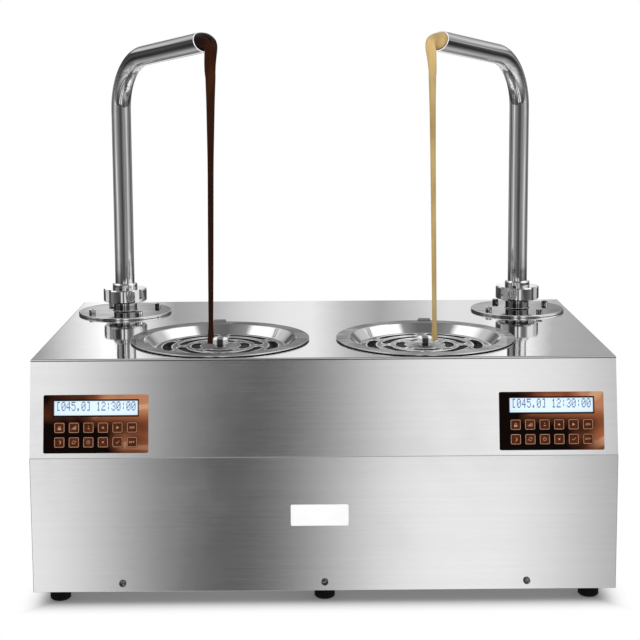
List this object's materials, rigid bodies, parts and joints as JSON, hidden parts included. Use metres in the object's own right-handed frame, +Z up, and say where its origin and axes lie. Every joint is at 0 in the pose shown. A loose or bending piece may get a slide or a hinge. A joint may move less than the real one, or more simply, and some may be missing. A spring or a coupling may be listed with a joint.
{
  "type": "chocolate dispenser",
  "caption": "Countertop chocolate dispenser: stainless box with round bowls, lift-out drain grates, swan-neck spouts on slotted union nuts, and slanted keypads with displays.",
  "frame": {"origin": "on the floor under the middle of the body, between the feet", "axes": "+X to the right of someone facing the front, +Y to the rear, +Z up"},
  "size_m": [0.73, 0.451, 0.7154],
  "materials": {
    "polished_steel": "mirror polished stainless steel",
    "satin_steel": "satin stainless sheet",
    "pump_steel": "machined stainless steel",
    "black_screw": "black oxide screw",
    "black_rubber": "moulded rubber",
    "heater_silicone": "silicone heater mat",
    "motor_paint": "painted motor housing",
    "overlay": "printed keypad overlay, brown and copper",
    "key_plastic": "printed key, dark red-brown",
    "display": "lit blue-white character display",
    "board": "circuit board",
    "black_plastic": "moulded inlet and rocker"
  },
  "bodies": {
    "cabinet": {"base_pan": "satin_steel", "upper_fascia": "satin_steel", "front_panel": "satin_steel", "left_side_panel": "satin_steel", "right_side_panel": "satin_steel", "rear_panel": "satin_steel", "top_plate": "polished_steel", "feet": "black_rubber", "seals": "black_rubber", "panel_screws": "black_screw", "flange_screws": "polished_steel", "tank_heaters": "heater_silicone", "tank_walls": "pump_steel", "tank_bottoms": "pump_steel", "pump_barrels": "pump_steel", "gear_motors": "motor_paint", "displays": "display", "control_boards": "board", "power_inlet": "black_plastic", "left_dish": "polished_steel", "left_riser_flange": "polished_steel", "left_control_panel": "overlay", "right_dish": "polished_steel", "right_riser_flange": "polished_steel", "right_control_panel": "overlay"},
    "power_rocker": {"power_rocker": "black_plastic"},
    "left_grate": {"left_drain_grate": "polished_steel", "left_grate_knob": "polished_steel"},
    "left_auger": {"left_auger": "pump_steel"},
    "left_union_nut": {"left_union_nut": "polished_steel"},
    "left_spout": {"left_spout": "polished_steel"},
    "right_grate": {"right_drain_grate": "polished_steel", "right_grate_knob": "polished_steel"},
    "right_auger": {"right_auger": "pump_steel"},
    "right_union_nut": {"right_union_nut": "polished_steel"},
    "right_spout": {"right_spout": "polished_steel"},
    "left_key_1": {"left_key_1": "key_plastic"},
    "left_key_2": {"left_key_2": "key_plastic"},
    "left_key_3": {"left_key_3": "key_plastic"},
    "left_key_4": {"left_key_4": "key_plastic"},
    "left_key_5": {"left_key_5": "key_plastic"},
    "left_key_6": {"left_key_6": "key_plastic"},
    "left_key_7": {"left_key_7": "key_plastic"},
    "left_key_8": {"left_key_8": "key_plastic"},
    "left_key_9": {"left_key_9": "key_plastic"},
    "left_key_10": {"left_key_10": "key_plastic"},
    "left_key_11": {"left_key_11": "key_plastic"},
    "left_key_12": {"left_key_12": "key_plastic"},
    "right_key_1": {"right_key_1": "key_plastic"},
    "right_key_2": {"right_key_2": "key_plastic"},
    "right_key_3": {"right_key_3": "key_plastic"},
    "right_key_4": {"right_key_4": "key_plastic"},
    "right_key_5": {"right_key_5": "key_plastic"},
    "right_key_6": {"right_key_6": "key_plastic"},
    "right_key_7": {"right_key_7": "key_plastic"},
    "right_key_8": {"right_key_8": "key_plastic"},
    "right_key_9": {"right_key_9": "key_plastic"},
    "right_key_10": {"right_key_10": "key_plastic"},
    "right_key_11": {"right_key_11": "key_plastic"},
    "right_key_12": {"right_key_12": "key_plastic"}
  },
  "joints": [
    {"name": "power_rocker_tilt", "type": "hinge", "parent": "cabinet", "child": "power_rocker", "pos_m": [0.27, 0.21896, 0.107], "axis": [-1, 0, 0], "range_deg": [0, 16]},
    {"name": "left_spout_swivel", "type": "hinge", "parent": "cabinet", "child": "left_spout", "pos_m": [-0.289, 0.1305, 0.34], "axis": [0, 0, 1], "range_deg": [-20, 20]},
    {"name": "left_nut_turn", "type": "hinge", "parent": "cabinet", "child": "left_union_nut", "pos_m": [-0.289, 0.1305, 0.34], "axis": [0, 0, 1], "continuous": true},
    {"name": "left_auger_spin", "type": "hinge", "parent": "cabinet", "child": "left_auger", "pos_m": [-0.289, 0.1305, 0.1], "axis": [0, 0, 1], "continuous": true},
    {"name": "left_grate_lift", "type": "slide", "parent": "cabinet", "child": "left_grate", "axis": [0, 0, 1], "range_m": [0, 0.12]},
    {"name": "right_spout_swivel", "type": "hinge", "parent": "cabinet", "child": "right_spout", "pos_m": [0.289, 0.1305, 0.34], "axis": [0, 0, 1], "range_deg": [-20, 20]},
    {"name": "right_nut_turn", "type": "hinge", "parent": "cabinet", "child": "right_union_nut", "pos_m": [0.289, 0.1305, 0.34], "axis": [0, 0, 1], "continuous": true},
    {"name": "right_auger_spin", "type": "hinge", "parent": "cabinet", "child": "right_auger", "pos_m": [0.289, 0.1305, 0.1], "axis": [0, 0, 1], "continuous": true},
    {"name": "right_grate_lift", "type": "slide", "parent": "cabinet", "child": "right_grate", "axis": [0, 0, 1], "range_m": [0, 0.12]},
    {"name": "left_key_1_press", "type": "slide", "parent": "cabinet", "child": "left_key_1", "axis": [0, 0.9804, -0.1969], "range_m": [0, 0.0005], "stiffness_N_per_m": 2000},
    {"name": "left_key_2_press", "type": "slide", "parent": "cabinet", "child": "left_key_2", "axis": [0, 0.9804, -0.1969], "range_m": [0, 0.0005], "stiffness_N_per_m": 2000},
    {"name": "left_key_3_press", "type": "slide", "parent": "cabinet", "child": "left_key_3", "axis": [0, 0.9804, -0.1969], "range_m": [0, 0.0005], "stiffness_N_per_m": 2000},
    {"name": "left_key_4_press", "type": "slide", "parent": "cabinet", "child": "left_key_4", "axis": [0, 0.9804, -0.1969], "range_m": [0, 0.0005], "stiffness_N_per_m": 2000},
    {"name": "left_key_5_press", "type": "slide", "parent": "cabinet", "child": "left_key_5", "axis": [0, 0.9804, -0.1969], "range_m": [0, 0.0005], "stiffness_N_per_m": 2000},
    {"name": "left_key_6_press", "type": "slide", "parent": "cabinet", "child": "left_key_6", "axis": [0, 0.9804, -0.1969], "range_m": [0, 0.0005], "stiffness_N_per_m": 2000},
    {"name": "left_key_7_press", "type": "slide", "parent": "cabinet", "child": "left_key_7", "axis": [0, 0.9804, -0.1969], "range_m": [0, 0.0005], "stiffness_N_per_m": 2000},
    {"name": "left_key_8_press", "type": "slide", "parent": "cabinet", "child": "left_key_8", "axis": [0, 0.9804, -0.1969], "range_m": [0, 0.0005], "stiffness_N_per_m": 2000},
    {"name": "left_key_9_press", "type": "slide", "parent": "cabinet", "child": "left_key_9", "axis": [0, 0.9804, -0.1969], "range_m": [0, 0.0005], "stiffness_N_per_m": 2000},
    {"name": "left_key_10_press", "type": "slide", "parent": "cabinet", "child": "left_key_10", "axis": [0, 0.9804, -0.1969], "range_m": [0, 0.0005], "stiffness_N_per_m": 2000},
    {"name": "left_key_11_press", "type": "slide", "parent": "cabinet", "child": "left_key_11", "axis": [0, 0.9804, -0.1969], "range_m": [0, 0.0005], "stiffness_N_per_m": 2000},
    {"name": "left_key_12_press", "type": "slide", "parent": "cabinet", "child": "left_key_12", "axis": [0, 0.9804, -0.1969], "range_m": [0, 0.0005], "stiffness_N_per_m": 2000},
    {"name": "right_key_1_press", "type": "slide", "parent": "cabinet", "child": "right_key_1", "axis": [0, 0.9804, -0.1969], "range_m": [0, 0.0005], "stiffness_N_per_m": 2000},
    {"name": "right_key_2_press", "type": "slide", "parent": "cabinet", "child": "right_key_2", "axis": [0, 0.9804, -0.1969], "range_m": [0, 0.0005], "stiffness_N_per_m": 2000},
    {"name": "right_key_3_press", "type": "slide", "parent": "cabinet", "child": "right_key_3", "axis": [0, 0.9804, -0.1969], "range_m": [0, 0.0005], "stiffness_N_per_m": 2000},
    {"name": "right_key_4_press", "type": "slide", "parent": "cabinet", "child": "right_key_4", "axis": [0, 0.9804, -0.1969], "range_m": [0, 0.0005], "stiffness_N_per_m": 2000},
    {"name": "right_key_5_press", "type": "slide", "parent": "cabinet", "child": "right_key_5", "axis": [0, 0.9804, -0.1969], "range_m": [0, 0.0005], "stiffness_N_per_m": 2000},
    {"name": "right_key_6_press", "type": "slide", "parent": "cabinet", "child": "right_key_6", "axis": [0, 0.9804, -0.1969], "range_m": [0, 0.0005], "stiffness_N_per_m": 2000},
    {"name": "right_key_7_press", "type": "slide", "parent": "cabinet", "child": "right_key_7", "axis": [0, 0.9804, -0.1969], "range_m": [0, 0.0005], "stiffness_N_per_m": 2000},
    {"name": "right_key_8_press", "type": "slide", "parent": "cabinet", "child": "right_key_8", "axis": [0, 0.9804, -0.1969], "range_m": [0, 0.0005], "stiffness_N_per_m": 2000},
    {"name": "right_key_9_press", "type": "slide", "parent": "cabinet", "child": "right_key_9", "axis": [0, 0.9804, -0.1969], "range_m": [0, 0.0005], "stiffness_N_per_m": 2000},
    {"name": "right_key_10_press", "type": "slide", "parent": "cabinet", "child": "right_key_10", "axis": [0, 0.9804, -0.1969], "range_m": [0, 0.0005], "stiffness_N_per_m": 2000},
    {"name": "right_key_11_press", "type": "slide", "parent": "cabinet", "child": "right_key_11", "axis": [0, 0.9804, -0.1969], "range_m": [0, 0.0005], "stiffness_N_per_m": 2000},
    {"name": "right_key_12_press", "type": "slide", "parent": "cabinet", "child": "right_key_12", "axis": [0, 0.9804, -0.1969], "range_m": [0, 0.0005], "stiffness_N_per_m": 2000}
  ]
}
